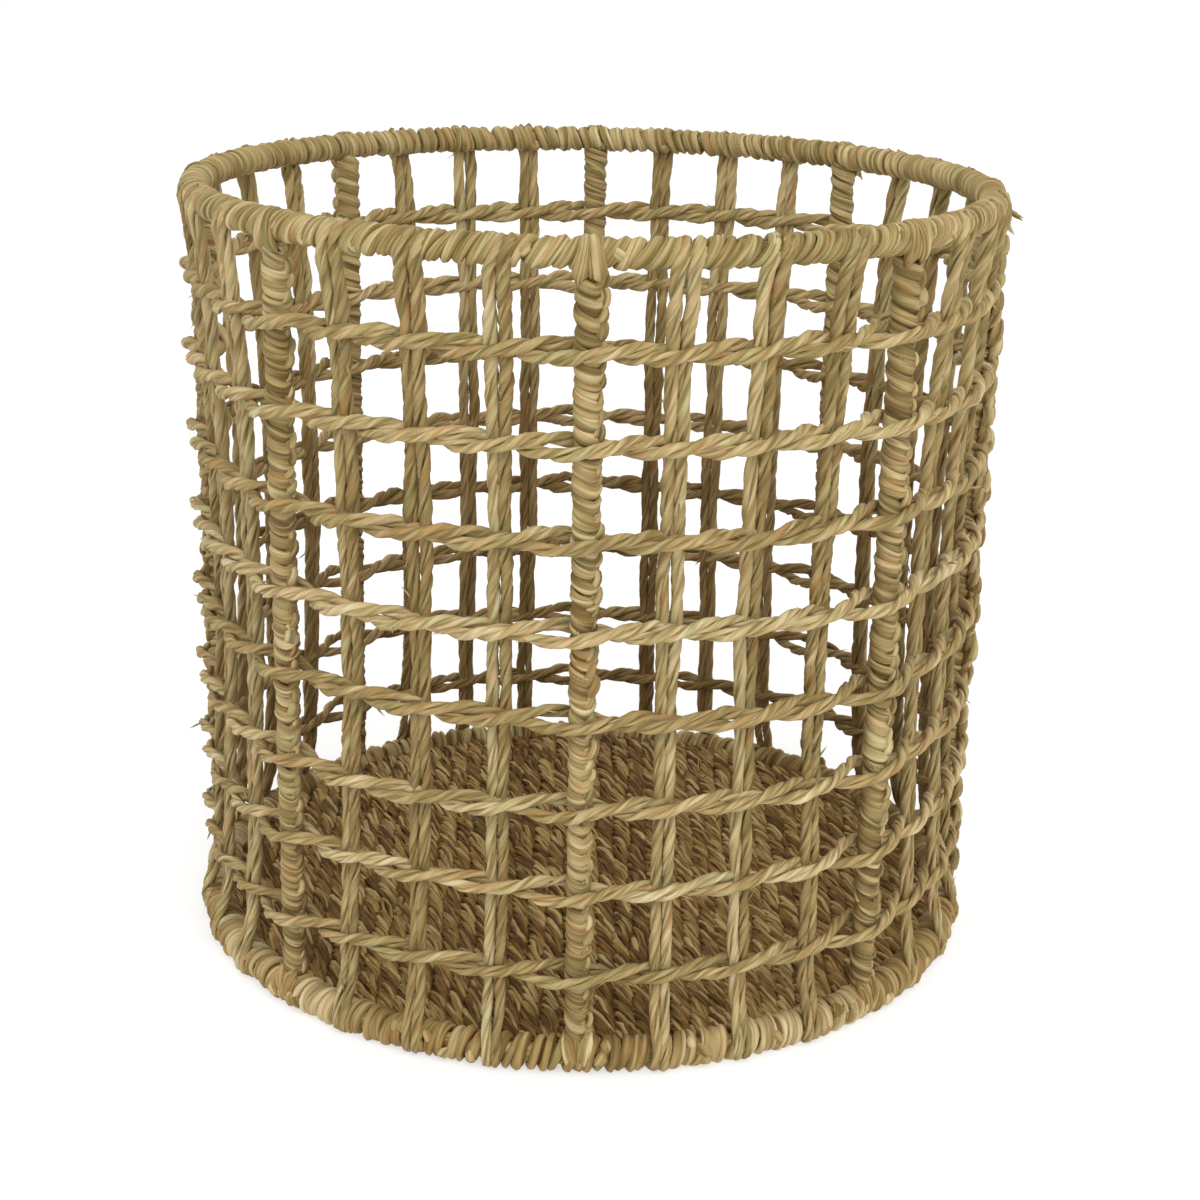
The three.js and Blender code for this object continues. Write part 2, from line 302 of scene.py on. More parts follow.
    def fray(self, path, out, offset, count, longest):
        """Short loose ends along a strand, that lift off it at a low angle."""
        rng = self.rng
        tangent = unit(np.gradient(path, axis=0))
        for i in rng.integers(3, len(path) - 3, count):
            away = unit(out[i] + rng.normal(0, 0.6, 3))
            direction = rng.choice([-1, 1]) * tangent[i] + rng.uniform(0.3, 1.0) * away
            self.loose_end(path[i] + 0.7 * offset * away, direction, rng.uniform(0.4, 1.0) * longest)

    def build(self, name, material):
        """Makes the mesh object, with the attributes that the grass material reads."""
        verts = np.concatenate(self.verts)
        verts[:, 2] = np.maximum(verts[:, 2], FLOOR_GAP)
        corners = np.concatenate(self.corners)
        sizes = np.concatenate(self.sizes)
        mesh = bpy.data.meshes.new(name)
        mesh.vertices.add(len(verts))
        mesh.vertices.foreach_set("co", verts.astype(np.float32).reshape(-1))
        mesh.loops.add(len(corners))
        mesh.loops.foreach_set("vertex_index", corners.astype(np.int32))
        mesh.polygons.add(len(sizes))
        starts = np.concatenate([[0], np.cumsum(sizes)[:-1]])
        mesh.polygons.foreach_set("loop_start", starts.astype(np.int32))
        mesh.polygons.foreach_set("use_smooth", np.ones(len(sizes), bool))
        add_attribute(mesh, "fibre", "FLOAT_VECTOR", "vector", np.concatenate(self.fibre))
        add_attribute(mesh, "tint", "FLOAT", "value", np.concatenate(self.tint))
        # painted shade in the hollows between a ply's bumps
        add_attribute(mesh, "crease_shade", "FLOAT", "value", np.concatenate(self.crease_shade))
        mesh.update(calc_edges=True)
        mesh.validate()
        # painted shade on the side that faces into the basket, fading out towards the rim
        add_attribute(mesh, "inside", "FLOAT", "value", inward_shade_mask(mesh, verts))
        mesh.materials.append(material)
        piece = bpy.data.objects.new(name, mesh)
        bpy.context.scene.collection.objects.link(piece)
        return piece


# ---- materials


def rgb(text):
    """A shader colour from six hex digits."""
    values = [int(text[i:i + 2], 16) / 255 for i in (0, 2, 4)]
    return tuple(v / 12.92 if v < 0.04045 else ((v + 0.055) / 1.055) ** 2.4 for v in values) + (1.0,)


class Nodes:
    """Short calls for building one material's node tree."""

    def __init__(self, name):
        self.material = bpy.data.materials.new(name)
        self.material.use_nodes = True
        self.tree = self.material.node_tree
        self.shader = self.tree.nodes["Principled BSDF"]

    def add(self, kind, inputs=(), **settings):
        """One node. Each input is another node's output to link, or a value."""
        node = self.tree.nodes.new(kind)
        for key, value in settings.items():
            setattr(node, key, value)
        for key, value in dict(inputs).items():
            if isinstance(value, bpy.types.NodeSocket):
                self.tree.links.new(value, node.inputs[key])
            else:
                node.inputs[key].default_value = value
        return node

    def attribute(self, name, output):
        return self.add("ShaderNodeAttribute", attribute_name=name).outputs[output]

    def scaled(self, vector, scale):
        return self.add("ShaderNodeVectorMath", {0: vector, 1: scale}, operation="MULTIPLY").outputs[0]

    def noise(self, vector, scale, detail, rough=0.5):
        inputs = {"Vector": vector, "Scale": scale, "Detail": detail, "Roughness": rough}
        return self.add("ShaderNodeTexNoise", inputs).outputs["Fac"]

    def stretched_noise(self, vector, scale, detail, rough=0.5):
        """Noise with its own scale along each axis: in a blade, per millimetre across, across and along."""
        return self.noise(self.scaled(vector, scale), 1.0, detail, rough)

    def math(self, operation, a, b):
        return self.add("ShaderNodeMath", {0: a, 1: b}, operation=operation).outputs[0]

    def remap(self, value, low, high, to_low=0.0, to_high=1.0):
        inputs = {"Value": value, 1: low, 2: high, 3: to_low, 4: to_high}
        return self.add("ShaderNodeMapRange", inputs).outputs[0]

    def ramp(self, value, stops):
        node = self.add("ShaderNodeValToRGB", {"Fac": value})
        elements = node.color_ramp.elements
        while len(elements) < len(stops):
            elements.new(0.5)
        for element, (position, colour) in zip(elements, stops):
            element.position = position
            element.color = rgb(colour)
        return node.outputs["Color"]

    def mix(self, factor, a, b, blend="MIX"):
        node = self.add("ShaderNodeMix", {0: factor, 6: a, 7: b}, data_type="RGBA", blend_type=blend)
        return node.outputs[2]

    def cast(self, factor, colour, cast):
        """The colour, multiplied by a cast as far as factor says."""
        return self.mix(factor, colour, self.mix(1.0, colour, rgb(cast), "MULTIPLY"))

    def link(self, value, socket):
        self.tree.links.new(value, self.shader.inputs[socket])

    def bump(self, height, strength, distance):
        inputs = {"Height": height, "Strength": strength, "Distance": distance}
        self.link(self.add("ShaderNodeBump", inputs).outputs[0], "Normal")


# the colour of the painted shade in the hollows between a ply's bumps
CREASE_SHADE_COLOUR = "4C3612"
GREEN_CAST = "F2FFFC"
INWARD_SHADE_CAST = "A3896B"  # painted shade, brown, on the side that faces into the basket


def grass_tone(nodes, fibre, fine, crease_shade):
    """How pale the grass is: streaks and blotches along the blade, dark lines where blades part, and painted
    crease shade.
    """
    streak = nodes.stretched_noise(fibre, (0.8, 0.8, 0.035), 2.0)
    blotch = nodes.stretched_noise(fibre, (0.15, 0.15, 0.06), 2.0)
    parted = nodes.remap(nodes.stretched_noise(fibre, (1.5, 1.5, 0.045), 1.0), 0.30, 0.44, 1.0, 0.0)
    tone = nodes.math("MULTIPLY", streak, 0.47)
    for part, weight in ((blotch, 0.55), (fine, 0.20), (nodes.attribute("tint", "Fac"), 0.24)):
        tone = nodes.math("ADD", tone, nodes.math("MULTIPLY", part, weight))
    # painted shade in the hollows between bumps, and dark lines where blades part, lower the tone
    for part, weight in ((crease_shade, 0.14), (parted, 0.16)):
        tone = nodes.math("SUBTRACT", tone, nodes.math("MULTIPLY", part, weight))
    return tone


def grass_material(name, dark, middle, light, pale, accent, shade, inner):
    """Dry seagrass, with fine fibres along the blade, and a few orange and a few green streaks.

    shade is how dark the painted shade in its creases is, and inner how dark and brown the painted shade is
    on the side that faces into the basket."""
    nodes = Nodes(name)
    fibre = nodes.attribute("fibre", "Vector")
    crease_shade = nodes.attribute("crease_shade", "Fac")
    fine = nodes.stretched_noise(fibre, (2.6, 2.6, 0.10), 3.0, 0.6)
    tone = grass_tone(nodes, fibre, fine, crease_shade)
    colour = nodes.ramp(tone, [(0.48, dark), (0.66, middle), (0.82, light), (0.95, pale)])
    orange = nodes.remap(nodes.stretched_noise(fibre, (0.30, 0.30, 0.05), 1.0), 0.58, 0.72, 0.0, 0.7)
    colour = nodes.mix(orange, colour, rgb(accent))
    green = nodes.remap(nodes.stretched_noise(fibre, (0.22, 0.22, 0.03), 1.0), 0.34, 0.52, 1.0, 0.0)
    colour = nodes.cast(green, colour, GREEN_CAST)
    # painted shade: the hollows between a ply's bumps are darkened
    colour = nodes.mix(nodes.math("MULTIPLY", crease_shade, shade), colour, rgb(CREASE_SHADE_COLOUR))
    # painted shade: the side that faces into the basket is darkened and browned, less so near the rim
    colour = nodes.cast(nodes.math("MULTIPLY", nodes.attribute("inside", "Fac"), inner), colour, INWARD_SHADE_CAST)
    nodes.link(colour, "Base Color")
    nodes.link(nodes.remap(fine, 0.3, 0.7, 0.52, 0.80), "Roughness")

    lines = nodes.stretched_noise(fibre, (4.2, 4.2, 0.12), 2.0, 0.6)
    height = nodes.math("ADD", nodes.math("MULTIPLY", fine, 0.7), nodes.math("MULTIPLY", lines, 0.5))
    nodes.bump(height, 0.55, 0.35 * MM)
    nodes.shader.inputs["Specular IOR Level"].default_value = 0.24
    return nodes.material


def steel_material():
    nodes = Nodes("dull_steel_wire")
    place = nodes.add("ShaderNodeTexCoord").outputs["Object"]
    cloud = nodes.noise(place, 160.0, 4.0)
    speck = nodes.noise(place, 900.0, 3.0, 0.7)
    colour = nodes.ramp(cloud, [(0.35, "4A4238"), (0.55, "6B6458"), (0.75, "7E776B")])
    nodes.link(nodes.mix(nodes.remap(speck, 0.58, 0.7), colour, rgb("5A3F28")), "Base Color")
    nodes.link(nodes.remap(cloud, 0.3, 0.7, 0.38, 0.62), "Roughness")
    nodes.bump(speck, 0.3, 0.1 * MM)
    nodes.shader.inputs["Metallic"].default_value = 0.85
    return nodes.material


def floor_material():
    nodes = Nodes("pale_floor")
    place = nodes.add("ShaderNodeTexCoord").outputs["Object"]
    cloud = nodes.noise(place, 3.0, 3.0)
    nodes.link(nodes.ramp(cloud, [(0.3, "B4B4B4"), (0.7, "B8B8B8")]), "Base Color")
    nodes.shader.inputs["Emission Color"].default_value = (1.0, 1.0, 1.0, 1.0)
    nodes.shader.inputs["Emission Strength"].default_value = 0.58  # a lit table, so that shadows stay faint
    nodes.shader.inputs["Roughness"].default_value = 0.9
    nodes.shader.inputs["Specular IOR Level"].default_value = 0.1
    return nodes.material


# Each has its dark, middle, light, pale and accent colours, then how dark the painted shade in its creases
# is and how dark and brown the painted shade on its inner side is.
BINDING = grass_material("binding_seagrass", "7B6836", "A28B5A", "C1AB7B", "D3C195", "A67D49", 0.4, 0.4)
# painted light: the rim's binding grass again, retoned lighter for how light falls on the base ring
BASE_BINDING_PAINTED_LIGHT = grass_material("base_seagrass_painted_light", "816634", "A78C59", "C9B282", "DBC9A0", "A07744", 0.45, 0.4)
RIB = grass_material("rib_seagrass", "776234", "A08959", "C0A978", "D1BE91", "A87E48", 0.7, 0.6)
UPRIGHT = grass_material("upright_seagrass", "877143", "A38C5C", "BCA676", "CAB78D", "A67C47", 0.4, 0.64)
ROW = grass_material("row_seagrass", "8E7848", "AF9765", "CAB384", "D9C79F", "B08650", 0.4, 0.64)
MAT = grass_material("mat_seagrass", "5F3F14", "926F39", "B09157", "C6A971", "8E6535", 0.7, 0.0)
STEEL = steel_material()

# ---- the pieces' places


def finish(weave, name, material, node):
    """Builds the piece that stands for a CAD node."""
    piece = weave.build(name, material)
    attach(piece, "root")
    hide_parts(node)


def is_rib(k):
    """k counts the uprights round the basket from the front, ribs and cords alike."""
    return k % (CORDS_PER_BAY + 1) == 0


def rib_angle(number):
    return number * 2 * pi / len(RIB_NAMES)


def rightwards(angle):
    """The level direction to the right of an upright, seen from outside."""
    return np.array([cos(angle), sin(angle), 0.0])


# ---- the rings' bindings


def ring_point(angle, z, around, radius):
    """A point on a ring's tube. around is counted from straight out, upwards."""
    return polar(angle, RING_RADIUS + radius * np.cos(around), z + radius * np.sin(around))


def bind_ring(weave, z, outer, fewest, leans, thick, uneven, riders):
    """Winds a plump strand round the ring, a new one in each gap between two uprights.

    outer is the radius of the ring with its wraps. fewest is the least number of wraps in a gap. leans are
    the least and the most that a wrap's top is ahead of its middle, seen from outside."""
    rng = weave.rng
    steps_per_wrap = 18
    early, late = 0.5, 0.1  # how much of a wrap it starts and ends outside its gap
    for k in range(UPRIGHT_COUNT):
        wraps = fewest + rng.integers(2)
        lean = rng.uniform(*leans)
        per_wrap = UPRIGHT_STEP / wraps
        turns = np.linspace(-early, wraps + late, int((wraps + early + late) * steps_per_wrap))
        around = 2 * pi * turns
        middle = k * UPRIGHT_STEP + (turns + early) * per_wrap + lean / RING_RADIUS * np.sin(around)
        middle += wander(rng, turns, 2.3, uneven) * per_wrap
        shell = outer - thick * (1 + wander(rng, turns, 1.9, uneven))
        path = ring_point(middle, z, around, shell)
        out = unit(path - ring_point(middle, z, around, 0.0 * shell))
        half_width = 0.50 * per_wrap * RING_RADIUS * (1 + wander(rng, turns, 1.7, uneven))
        weave.strand(path, out, thick, half_width, riders)
    angle = np.linspace(0, 2 * pi, 240)
    circle = ring_point(angle, z, 0.0, 0.0)
    core = outer - 1.4 * thick  # the grass that packs the ring under its wraps
    weave.ply(circle, polar(angle, 1.0, 0.0), core, core, sides=12, tint=0.2, taper=0)


def add_knots(weave, z, outer, count, lowest, highest):
    """Short lengths of strand across the wraps, where a wrap's end was tucked under another.

    lowest and highest are angles round the ring's tube, from straight out."""
    rng = weave.rng
    t = np.linspace(-1, 1, 7)
    for _ in range(count):
        around = rng.uniform(lowest, highest) + 0.5 * t
        angle = rng.uniform(0, 2 * pi) + rng.uniform(-3.5, 3.5) * MM / RING_RADIUS * t
        path = ring_point(angle, z, around, outer - (1.3 + 1.3 * t**2) * MM)
        out = unit(path - ring_point(angle, z, around, 0.0 * t))
        half_width = rng.uniform(1.8, 2.9) * MM
        spin = rng.uniform(-60, 60)
        weave.ply(path, out, KNOT_THICK, half_width, sides=9, spin=spin, relief=1.2)


def make_rim():
    weave = Weave(11)
    outer = RIM_RADIUS - 0.5 * MM
    leans = (1.8 * MM, 3.2 * MM)
    bind_ring(weave, RIM_Z, outer, fewest=6, leans=leans, thick=RIM_WRAP, uneven=0.18, riders=1)
    add_knots(weave, RIM_Z, outer, count=26, lowest=-0.7, highest=1.0)
    for number in range(len(RIB_NAMES)):
        tie_over_ring(weave, rib_angle(number), RIM_Z, RIM_RADIUS, up=1)
    finish(weave, "rim_wraps", BINDING, "rim_binding")


def make_base_ring():
    weave = Weave(12)
    outer = BASE_RADIUS + 0.5 * MM
    leans = (-0.8 * MM, 1.0 * MM)
    bind_ring(weave, BASE_Z, outer, fewest=7, leans=leans, thick=BASE_WRAP, uneven=0.24, riders=0)
    add_knots(weave, BASE_Z, outer + 0.4 * MM, count=70, lowest=-0.6, highest=1.1)
    for number in range(len(RIB_NAMES)):
        tie_over_ring(weave, rib_angle(number), BASE_Z, BASE_RADIUS, up=-1)
    finish(weave, "base_wraps", BASE_BINDING_PAINTED_LIGHT, "base_binding")


def tie_over_ring(weave, angle, z, radius, up):
    """Where a rib meets a ring: one strand straight over the ring, and two on top of it that spread apart.

    up is 1 at the rim and -1 at the base."""
    rng = weave.rng
    # how far out from the ring's wire and how far away from the rib, against the ring's radius
    profile = [(-0.30, 0.30), (-0.10, 0.72), (0.50, 0.62), (0.78, 0.05), (0.80, -0.75), (0.35, -1.60)]
    if up < 0:
        profile = profile[2:]
    # in millimetres, how far a strand is to the right at its first end and at its last, and how deep it lies
    for near, far, sunk in ((0.3, 0.2, 1.3), (-0.4, -4.4, 0.0), (1.2, 4.0, 0.0)):
        points = [polar(angle, RING_RADIUS + rho * radius, z + up * rise * radius) for rho, rise in profile]
        path = curve_through(np.array(points), 1.8 * MM)
        t = np.linspace(0, 1, len(path))
        aside = (near + (far - near) * t + rng.normal(0, 0.4)) * MM
        path += aside[:, None] * rightwards(angle)
        out = unit(path - polar(angle, RING_RADIUS - 0.4 * radius, z - 0.6 * up * radius))
        weave.strand(path - sunk * MM * out, out, TIE_THICK, TIE_WIDE)


# ---- the ribs

# One value for each rib, in the order of RIB_NAMES.
RIDGES = [62, 50, 0, 65, 50, 70, 60, 104]  # where its hitches are: degrees from straight out, to the right
HITCH_SIZES = [1.05, 1.2, 2.6, 1.2, 1.0, 1.2, 1.3, 1.0]  # 1 is one blade, and 2.6 a bundle of two or three
LOOSE_ENDS_AT_HEADS = [0, 0, 10, 5, 1, 4, 0, 0]  # how many hang out where it is tied to the rim


class Rib:
    """Where one rib stands, and the shape of what is wound round it."""

    def __init__(self, number):
        self.number = number
        self.angle = rib_angle(number)
        self.foot = BASE_Z + 1.1 * BASE_RADIUS  # its wraps run from just above the base ring's binding
        self.head = RIM_Z - 0.95 * RIM_RADIUS  # to just inside the rim's
        self.pitch = (self.head - self.foot) / RIB_WRAPS

    def ridge(self, turns):
        """Where round the rib the hitches are, which sways a little on the way down."""
        return radians(RIDGES[self.number]) + radians(14) * np.sin(turns / 7.0 + self.number)

    def core(self, z):
        """The radius to the middle of the wraps. The rib is thicker towards the rim."""
        return RIB_RADIUS * (0.79 + 0.17 * height_up(z)) - RIB_WRAP

    def place(self, turn, radius, z):
        """Points round the rib and the direction out of it. turn is from straight out towards the right."""
        outward = polar(self.angle, 1.0, 0.0)
        flat = np.cos(turn)[:, None] * outward + np.sin(turn)[:, None] * rightwards(self.angle)
        spot = polar(self.angle, RING_RADIUS, 0.0) + np.asarray(radius)[:, None] * flat
        spot[:, 2] += z
        return spot, flat


def returning(turns):
    """A saw wave: it climbs all the way round and falls back at the ridge."""
    past_ridge = (turns + 0.5) % 1.0 - 0.5
    return past_ridge - 0.5 * np.tanh(past_ridge / 0.09)


def pack_rib(weave, rib):
    """The grass laid along the wire, under the wraps."""
    z = np.linspace(rib.foot - 2 * MM, rib.head + 3 * MM, 60)
    path, out = rib.place(0 * z, 0 * z, z)
    packing = rib.core(z) - 0.3 * RIB_WRAP
    weave.ply(path, out, packing, packing, sides=12, tint=0.3)


def wrap_rib(weave, rib):
    """Slanting wraps all the way down, with a new strand every few turns."""
    rng = weave.rng
    turns_per_strand = 5
    steps_per_turn = 20
    overlap = 3  # steps that each end of a strand runs past its turns
    for first in range(0, RIB_WRAPS, turns_per_strand):
        last = first + turns_per_strand
        turns = np.arange(first * steps_per_turn - overlap, last * steps_per_turn + overlap) / steps_per_turn
        around = rib.ridge(turns) + 2 * pi * turns
        z = rib.head - rib.pitch * (turns + 0.9 * returning(turns)) + wander(rng, turns, 3.1, 0.5 * MM)
        shell = rib.core(z) + wander(rng, turns, 2.3, 0.35 * MM)
        path, out = rib.place(around, shell, z)
        weave.strand(path, out, RIB_WRAP, 0.54 * rib.pitch * (1 + wander(rng, turns, 1.7, 0.12)))


def hitch_rib(weave, rib):
    """Where each wrap crosses itself on the ridge: one blade, or a few side by side in a big hitch."""
    rng = weave.rng
    t = np.linspace(-1, 1, 8)
    for i in range(RIB_WRAPS):
        size = HITCH_SIZES[rib.number] * rng.uniform(0.7, 1.3)
        blades = max(1, round(size))
        own = size / blades**0.6
        for blade in range(blades):
            middle = rib.head - rib.pitch * (i + 0.5) + rng.normal(0, 0.6 * MM)
            beside = radians(24) * (blade - (blades - 1) / 2) + rng.normal(0, 0.12)
            around = rib.ridge(i + 0.5) + beside + radians(17 + rng.normal(0, 8)) * t
            z = middle + (4.0 * MM * size**0.5 + rng.normal(0, 0.5 * MM)) * t
            lift = 0.5 * MM * (size - own) + rng.normal(0, 0.35 * MM)
            shell = rib.core(z) + RIB_WRAP * (0.75 * size - 1.6 * t**2) + lift
            path, out = rib.place(around, shell, z)
            spin = rng.uniform(-60, 60)
            weave.ply(path, out, 1.5 * MM * own, 1.8 * MM * own, sides=9, spin=spin, relief=1.3)


def fray_head(weave, rib):
    """Loose ends that hang out of the rim where the rib is tied to it."""
    rng = weave.rng
    for _ in range(LOOSE_ENDS_AT_HEADS[rib.number]):
        z = rng.uniform(RIM_Z - 9 * MM, RIM_Z + 2 * MM)
        start, out = rib.place(np.array([rng.uniform(-0.9, 0.9)]), [0.85 * RIM_RADIUS], z)
        direction = out[0] + (0, 0, -0.9) + rng.normal(0, 0.35, 3)
        weave.loose_end(start[0], direction, rng.uniform(8, 14) * MM, 4 * MM)


def make_rib(number):
    """Half hitches down a rib: each wrap goes round it and crosses itself on a ridge."""
    weave = Weave(40 + number)
    rib = Rib(number)
    pack_rib(weave, rib)
    wrap_rib(weave, rib)
    hitch_rib(weave, rib)
    fray_head(weave, rib)
    finish(weave, "rib_wraps_" + RIB_NAMES[number], RIB, "rib_binding_" + RIB_NAMES[number])


# ---- the upright cords

# An upright's way over each ring, from the rim down: out from the ring's wire and up, against its radius.
OVER_RIM = [
    (-0.25, 0.15), (-0.15, 0.55), (0.35, 0.57), (0.66, 0.05),
    (0.68, -0.70), (0.50, -1.70), (0.22, -3.40), (0.0, -5.8),
]
OVER_BASE = [(0.0, 4.6), (0.10, 3.1), (0.35, 2.0), (0.74, 0.95), (0.95, 0.0), (0.76, -0.60), (0.25, -0.85)]
PINCHES = np.array([BASE_Z, *ROW_LEVELS, RIM_Z])  # the heights where something holds the two legs together


def part_legs(z, bulges):
    """How far the legs bulge apart at each height, a different way between each two pinches."""
    cell = np.clip(np.searchsorted(PINCHES, z) - 1, 0, len(bulges) - 1)
    across = (z - PINCHES[cell]) / (PINCHES[cell + 1] - PINCHES[cell])
    return bulges[cell] * np.sin(pi * np.clip(across, 0, 1)) ** 2


def make_upright(number, k):
    """A doubled cord: its two legs stand side by side and pass over the outside of both rings."""
    weave = Weave(100 + number)
    rng = weave.rng
    angle = k * UPRIGHT_STEP
    profile = [(rho * RIM_RADIUS, RIM_Z + rise * RIM_RADIUS) for rho, rise in OVER_RIM]
    profile += [(rho * BASE_RADIUS, BASE_Z + rise * BASE_RADIUS) for rho, rise in OVER_BASE]
    points = np.array([polar(angle, RING_RADIUS + rho, z) for rho, z in profile])
    bulges = rng.uniform(-0.5, 0.55, len(PINCHES) - 1) * MM
    for leg in (-1, 1):
        path = curve_through(points, 2.6 * MM)
        grow = 0.84 + 0.26 * height_up(path[:, 2])  # thicker towards the rim
        apart = LEG_OFFSET * grow + part_legs(path[:, 2], bulges)
        aside = leg * apart + wander(rng, path[:, 2], 120 * MM, 0.5 * MM)
        aside += 0.28 * np.maximum(path[:, 2] - (RIM_Z - RIM_RADIUS), 0)  # leans with the rim's wraps
        path += aside[:, None] * rightwards(angle)
        depth = wander(rng, path[:, 2], 90 * MM, 0.4 * MM)
        path += depth[:, None] * polar(angle, 1.0, 0.0)
        focus_z = np.clip(path[:, 2], BASE_Z + BASE_RADIUS, RIM_Z)
        out = unit(path - polar(angle, RING_RADIUS - 10 * MM, focus_z))  # turns with the way over each ring
        pitch = LEG_PITCH * rng.uniform(0.8, 1.4)
        weave.cord(path, out, LEG_PLY * grow, pitch, hand=1, gap=0.8, broad=1.5, relief=0.9)
        weave.fray(path, out, offset=2 * LEG_PLY, count=2, longest=8 * MM)
    name = "upright_strands_%02d" % number
    finish(weave, name, UPRIGHT, "upright_cord_%02d" % number)


# ---- the twined rows

UPRIGHT_DEPTHS = [RIB_RADIUS if is_rib(k) else 1.2 * LEG_PLY for k in range(UPRIGHT_COUNT)]
ROW_STAND = np.array(UPRIGHT_DEPTHS) + 1.15 * ROW_PLY  # from the middle of each upright to a row's strand


def twined_path(rng, place, lift, odd):
    """Outside one upright and inside the next. place counts uprights, and odd says which come first."""
    before = np.floor(place).astype(int)
    t = place - before
    eased = 0.5 - 0.5 * np.cos(pi * t)
    side = np.where((before + odd) % 2 == 0, 1.0, -1.0)
    here = ROW_STAND[before % UPRIGHT_COUNT]
    there = ROW_STAND[(before + 1) % UPRIGHT_COUNT]
    rho = side * (here * (1 - eased) - there * eased)
    rise = side * ROW_LIFT * np.sin(pi * t) * (1 + wander(rng, place, 3.3, 0.15))
    return resample(polar(place * UPRIGHT_STEP, RING_RADIUS + rho, lift + rise), 2.0 * MM)


def make_row(number):
    """Two strands twined round the basket, one outside each upright and one inside it."""
    weave = Weave(200 + number)
    rng = weave.rng
    per_gap = 18  # steps from one upright to the next
    overlap = 4  # steps that each end runs past the joint
    joint = UPRIGHT_COUNT / 2 + 0.5  # between two uprights at the back
    place = joint + np.arange(-overlap, UPRIGHT_COUNT * per_gap + overlap) / per_gap
    level = ROW_LEVELS[number - 1]
    lift = level + wander(rng, place % UPRIGHT_COUNT, UPRIGHT_COUNT, 1.0 * MM)
    lift += wander(rng, place, 5.3, 0.6 * MM)
    ply = ROW_PLY * (0.92 + 0.18 * height_up(level))
    for strand in (0, 1):
        path = twined_path(rng, place, lift, strand + number)
        out = unit(path * (1, 1, 0))
        weave.cord(path, out, ply, ROW_PLY_PITCH, hand=-1, gap=0.85, broad=1.2, relief=0.8, flat=0.85)
        weave.fray(path, out, offset=2 * ply, count=7, longest=9 * MM)
    finish(weave, "twined_strands_%d" % number, ROW, "twined_row_%d" % number)


# ---- the base mat


def make_mat():
    """Flat ropes laid side by side, front to back, round the cross wires."""
    names = ["mat_ropes_left", "mat_ropes_middle", "mat_ropes_right"]
    for part, name in enumerate(names):
        weave = Weave(300 + part)
        for i in range(part * MAT_ROPE_COUNT // len(names), (part + 1) * MAT_ROPE_COUNT // len(names)):
            lay_mat_rope(weave, i)
        finish(weave, name, MAT, "base_mat")


def lay_mat_rope(weave, i):
    """One rope, counted from the left: a packed middle, and thin plies that slant over it and back under."""
    rng = weave.rng
    x = (i - (MAT_ROPE_COUNT - 1) / 2) * MAT_SPACING
    reach = np.sqrt((MAT_RADIUS + MAT_TUCK) ** 2 - x**2)
    y = np.arange(-reach, reach, 3.3 * MM)
    sway = x + wander(rng, y, 90 * MM, 1.3 * MM)
    turn = rng.uniform(0, 1) - y / MAT_PLY_PITCH + wander(rng, y, 80 * MM, 0.06)
    middle = np.stack([sway, y, np.full_like(y, BASE_Z)], axis=1)
    up = np.tile((0.0, 0.0, 1.0), (len(y), 1))
    weave.ply(middle, up, WIRE_RADIUS + 0.4 * MM, 0.78 * MAT_SPACING, sides=8, tint=0.0)
    for ply in range(MAT_PLIES):
        own = (turn + ply / MAT_PLIES + wander(rng, y, 50 * MM, 0.04)) % 1.0
        across = 1 - 4 * np.abs(own - 0.5)
        height = np.where(own < 0.5, 1.0, -1.0) * (1 - np.abs(across) ** 5)
        beside = sway + MAT_HALF_WIDTH * across * (1 + wander(rng, y, 47 * MM, 0.12))
        z = BASE_Z + MAT_HALF_HEIGHT * height + wander(rng, y, 23 * MM, 0.7 * MM)
        path = np.stack([beside, y, z], axis=1)
        out = np.stack([0.5 * across, 0 * y, height], axis=1) + (0, 0, 1e-3)
        swell = MAT_PLY * (1 + wander(rng, y, 29 * MM, 0.2))
        tint = rng.uniform(-0.6, 1.6)
        spin = rng.uniform(-40, 40)
        weave.ply(path, out, 0.95 * swell, 1.15 * swell, sides=6, spin=spin, relief=1.2, tint=tint)
        weave.fray(path, out, offset=MAT_PLY, count=1, longest=11 * MM)


# ---- the whole basket


def paint_wires():
    """The wires stay as the CAD's solids."""
    for name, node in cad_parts.items():
        if "wire" in name:
            node.data.materials.clear()
            node.data.materials.append(STEEL)


def make_basket():
    make_rim()
    make_base_ring()
    for number in range(len(RIB_NAMES)):
        make_rib(number)
    cord_places = [k for k in range(UPRIGHT_COUNT) if not is_rib(k)]
    for number, k in enumerate(cord_places, start=1):
        make_upright(number, k)
    for number in range(1, ROW_COUNT + 1):
        make_row(number)
    make_mat()
    paint_wires()


# ---- the floor, the light and the camera

FLOOR_SIZE = 12.0
FLOOR_CELLS = 8  # squares each way
KEY_PLACE = (0.35, -1.6, 1.8)
KEY_SIZE = 1.4
KEY_POWER = 17.6
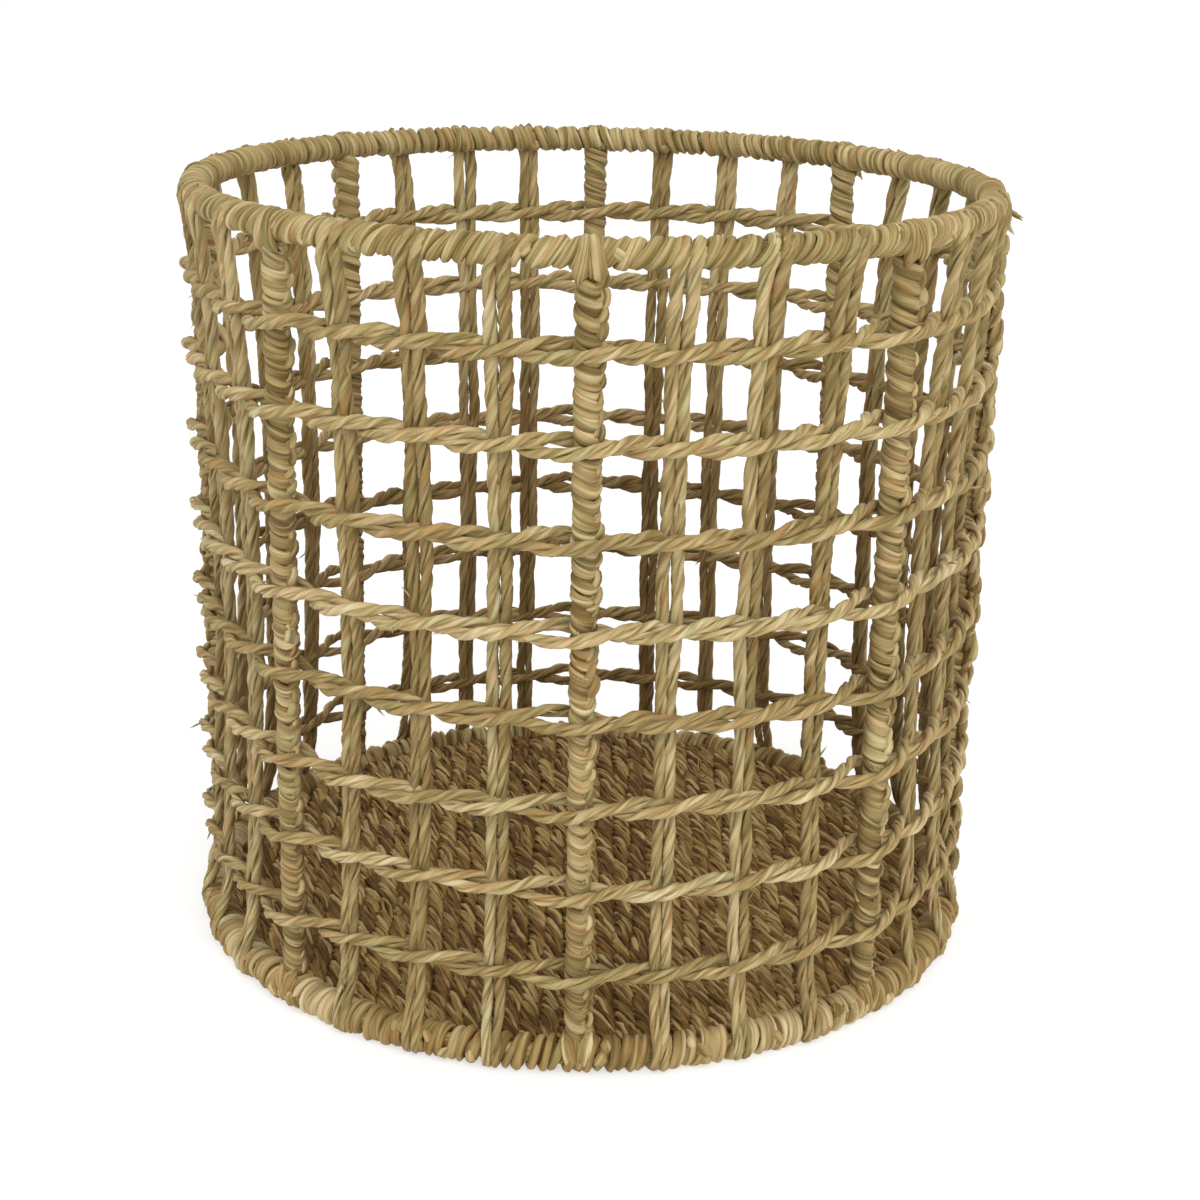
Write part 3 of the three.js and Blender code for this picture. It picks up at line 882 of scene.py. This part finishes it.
# Fitted to the two rings as the photograph shows them.
CAMERA_LENS = 65.33
CAMERA_SHIFT = 0.0053
CAMERA_ASIDE = 0.0204 * RING_RADIUS
CAMERA_DISTANCE = 5.569 * RING_RADIUS
CAMERA_HEIGHT = BASE_Z + 2.687 * RING_RADIUS
CAMERA_TILT = 0.3262  # radians below level
CAMERA_ROLL = 0.0206  # radians about the line of sight


def make_floor():
    mesh = bpy.data.meshes.new("floor")
    line = np.linspace(-FLOOR_SIZE / 2, FLOOR_SIZE / 2, FLOOR_CELLS + 1)
    verts = [(x, y, 0.0) for y in line for x in line]
    faces = []
    for row in range(FLOOR_CELLS):
        for column in range(FLOOR_CELLS):
            near = row * len(line) + column
            far = near + len(line)
            faces.append((near, near + 1, far + 1, far))
    mesh.from_pydata(verts, [], faces)
    mesh.materials.append(floor_material())
    floor = bpy.data.objects.new("floor", mesh)
    bpy.context.scene.collection.objects.link(floor)


def add_area_light(name, place, target, size, power):
    data = bpy.data.lights.new(name, "AREA")
    data.shape = "DISK"
    data.size = size
    data.energy = power
    light = bpy.data.objects.new(name, data)
    light.location = place
    light.rotation_euler = (Vector(target) - Vector(place)).to_track_quat("-Z", "Y").to_euler()
    bpy.context.scene.collection.objects.link(light)


def make_light():
    """An even white studio, and one soft key light from the front and above."""
    world = bpy.data.worlds.new("studio")
    world.use_nodes = True
    world.node_tree.nodes["Background"].inputs["Color"].default_value = (1.0, 1.0, 1.0, 1.0)
    world.node_tree.nodes["Background"].inputs["Strength"].default_value = 1.0
    bpy.context.scene.world = world
    middle = (0.0, 0.0, RIM_Z / 2)
    add_area_light("key", KEY_PLACE, middle, KEY_SIZE, KEY_POWER)


def make_camera():
    """In front of the basket and above it, looking down, a little turned about its line of sight."""
    data = bpy.data.cameras.new("camera")
    data.sensor_width = 36.0
    data.lens = CAMERA_LENS
    data.shift_x = CAMERA_SHIFT
    camera = bpy.data.objects.new("camera", data)
    turn = Matrix.Rotation(pi / 2 - CAMERA_TILT, 4, "X") @ Matrix.Rotation(CAMERA_ROLL, 4, "Z")
    camera.matrix_world = Matrix.Translation((CAMERA_ASIDE, -CAMERA_DISTANCE, CAMERA_HEIGHT)) @ turn
    bpy.context.scene.collection.objects.link(camera)
    bpy.context.scene.camera = camera


make_basket()
make_floor()
make_light()
make_camera()
bpy.context.scene.view_settings.view_transform = "Standard"
